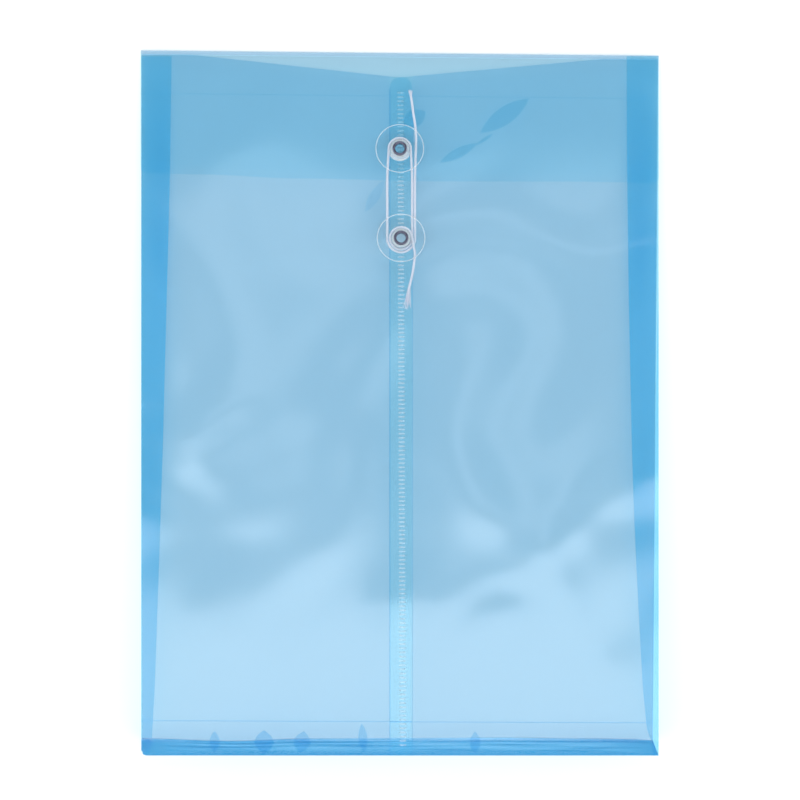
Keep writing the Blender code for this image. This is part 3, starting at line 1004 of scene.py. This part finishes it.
def button(word, x, s, top, stack, side_body, disc_body):
    """Hub, disc, washer and eyelet of one button, on the film that has its upper face at top."""
    hub_low = top + SEAT
    hub_high = hub_low + HUB_HEIGHT
    flange = hub_low + HUB_FLANGE
    hub = [
        (BORE, hub_high),
        (BORE, hub_low),
        (FLANGE_RADIUS - EDGE_BREAK, hub_low),
        (FLANGE_RADIUS, hub_low + EDGE_BREAK),
        (FLANGE_RADIUS, flange - EDGE_BREAK),
        (FLANGE_RADIUS - EDGE_BREAK, flange),
        (HUB_RADIUS + HUB_FILLET, flange),
        (HUB_RADIUS, flange + HUB_FILLET),
        (HUB_RADIUS, hub_high - HUB_CHAMFER),
        (HUB_RADIUS - HUB_CHAMFER, hub_high),
    ]
    name = f"{word}_button_hub"
    turned(f"{name}_turned", hub, x, s, hub_milky, side_body, name)

    disc_low = hub_high + SEAT
    disc_high = disc_low + DISC_THICK
    disc = bead(BORE, DISC_RADIUS, disc_low, disc_high, DISC_ROUND)
    name = f"{word}_button_disc"
    turned(f"{name}_turned", disc, x, s, [disc_clear, disc_rim_glint], disc_body, name, DISC_RIM)

    washer_high = top - stack - SEAT
    washer_low = washer_high - WASHER_THICK
    washer = bead(BORE, WASHER_RADIUS, washer_low, washer_high, WASHER_ROUND)
    name = f"{word}_button_washer"
    turned(f"{name}_turned", washer, x, s, disc_clear, side_body, name)

    head = disc_high + SEAT
    curl = washer_low - SEAT
    head_half = (EYELET_HEAD - EYELET_BORE) / 2
    curl_half = (EYELET_CURL - EYELET_BORE) / 2
    eyelet = arc(EYELET_BORE + head_half, head, head_half, HEAD_RISE, 180, 0, 8)
    eyelet += [(EYELET_NECK, head), (EYELET_NECK, curl)]
    eyelet += arc(EYELET_BORE + curl_half, curl, curl_half, CURL_DROP, 0, -180, 6)
    name = f"{word}_eyelet"
    turned(f"{name}_turned", eyelet, x, s, nickel, side_body, name)


button("flap", FLAP_X, FLAP_S, FLAP_TOP, FILM, "flap_side", "flap_disc")
button("pocket", SEAM_X, POCKET_S, LAP_TOP, LAP_TOP, "pocket_front", "pocket_disc")

# Floor and world: what the camera, a mirror or glass sees of them is white
FLOOR_HALF = 6.0
FLOOR_DROP = 0.0003
FLOOR_TONE = 0.90
FLOOR_GLOW = 0.18
FLOOR_NEAR = 0.30
FLOOR_FAR = 0.90
SKY_CAST = 0.5
OVERHEAD = 0.10
OVERHEAD_FROM = 0.80
OVERHEAD_TO = 0.92


def seen_rays(tree):
    """1 for rays from the camera, a mirror or glass, and 0 for the light they cast."""
    path = add(tree, "LightPath").outputs
    seen = add(tree, "Math", {0: path["Is Camera Ray"], 1: path["Is Glossy Ray"]}, operation="MAXIMUM")
    seen = add(tree, "Math", {0: seen.outputs[0], 1: path["Is Transmission Ray"]}, operation="MAXIMUM")
    return seen.outputs[0]


floor_shape = bmesh.new()
bmesh.ops.create_grid(floor_shape, x_segments=1, y_segments=1, size=FLOOR_HALF)
floor_mesh = bpy.data.meshes.new("floor")
floor_shape.to_mesh(floor_mesh)
floor_shape.free()
floor = bpy.data.objects.new("floor", floor_mesh)
floor.location = (0, 0, -FLOOR_DROP)
bpy.context.scene.collection.objects.link(floor)
made, tree, out = new_material("floor_white")
matt = add(tree, "BsdfDiffuse", {"Color": (FLOOR_TONE, FLOOR_TONE, FLOOR_TONE, 1)})
glow = add(tree, "Math", {0: seen_rays(tree), 1: FLOOR_GLOW}, operation="MULTIPLY")
glow = add(tree, "Emission", {"Color": (1, 1, 1, 1), "Strength": glow.outputs[0]})
near = add(tree, "AddShader", {0: matt.outputs[0], 1: glow.outputs[0]})
far = add(tree, "Emission", {"Color": (1, 1, 1, 1), "Strength": seen_rays(tree)})
off = add(tree, "VectorMath", {0: add(tree, "TexCoord").outputs["Object"]}, operation="LENGTH")
share = add(tree, "MapRange", {0: off.outputs["Value"], 1: FLOOR_NEAR, 2: FLOOR_FAR})
both = add(tree, "MixShader", {0: share.outputs[0], 1: near.outputs[0], 2: far.outputs[0]})
tree.links.new(both.outputs[0], out.inputs[0])
floor_mesh.materials.append(made)

world = bpy.data.worlds.new("studio")
bpy.context.scene.world = world
world.use_nodes = True
tree = world.node_tree
tree.nodes.clear()
out = add(tree, "OutputWorld")
height = add(tree, "SeparateXYZ", {0: add(tree, "TexCoord").outputs["Generated"]}).outputs[2]
dark_above = add(tree, "MapRange", {0: height, 1: OVERHEAD_FROM, 2: OVERHEAD_TO, 3: 1.0, 4: OVERHEAD})
strength = add(tree, "Math", {0: seen_rays(tree), 1: 1 - SKY_CAST, 2: SKY_CAST}, operation="MULTIPLY_ADD")
strength = add(tree, "Math", {0: strength.outputs[0], 1: dark_above.outputs[0]}, operation="MULTIPLY")
sky = add(tree, "Background", {"Color": (1, 1, 1, 1), "Strength": strength.outputs[0]})
tree.links.new(sky.outputs[0], out.inputs[0])


def softbox(name, centre, aim, width, height, power):
    """A rectangular soft light that faces aim."""
    data = bpy.data.lights.new(name, "AREA")
    data.shape = "RECTANGLE"
    data.size = width
    data.size_y = height
    data.energy = power
    lamp = bpy.data.objects.new(name, data)
    bpy.context.scene.collection.objects.link(lamp)
    lamp.location = centre
    lamp.rotation_euler = (Vector(aim) - Vector(centre)).to_track_quat("-Z", "Y").to_euler()


LIGHT_HEIGHT = 2.2
NEAR_EDGE = 0.20
BOX_DEEP = 1.2
box_s = VIEW_S - NEAR_EDGE - BOX_DEEP / 2
softbox(
    "softbox_base",
    on_front(0, box_s, LIGHT_HEIGHT),
    on_front(0, box_s, 0),
    width=3.2,
    height=BOX_DEEP,
    power=30.8,
)
for word, light_x in (("left", -1.6), ("right", 1.6)):
    softbox(f"softbox_{word}", (light_x, 0.1, 1.3), (0, 0, 0), width=0.9, height=1.4, power=7.0)
softbox("softbox_mouth", (0, 1.7, 1.4), (0, 0.1, 0), width=1.6, height=0.9, power=9.0)

# Faint panels overhead, (x, along from the view's middle, width, depth): the film mirrors them in patches
PANEL_GLOW = 0.9
PANELS = [
    (-0.17, 0.10, 0.16, 0.42),
    (0.14, 0.02, 0.10, 0.30),
    (0.05, 0.27, 0.70, 0.07),
]
for i, (at_x, at_s, width, deep) in enumerate(PANELS):
    above = on_front(at_x, VIEW_S + at_s, LIGHT_HEIGHT)
    below = on_front(at_x, VIEW_S + at_s, 0)
    softbox(f"panel_{i}", above, below, width, deep, pi * width * deep * PANEL_GLOW)

scene = bpy.context.scene
scene.view_settings.view_transform = "Standard"
scene.cycles.transparent_max_bounces = 48
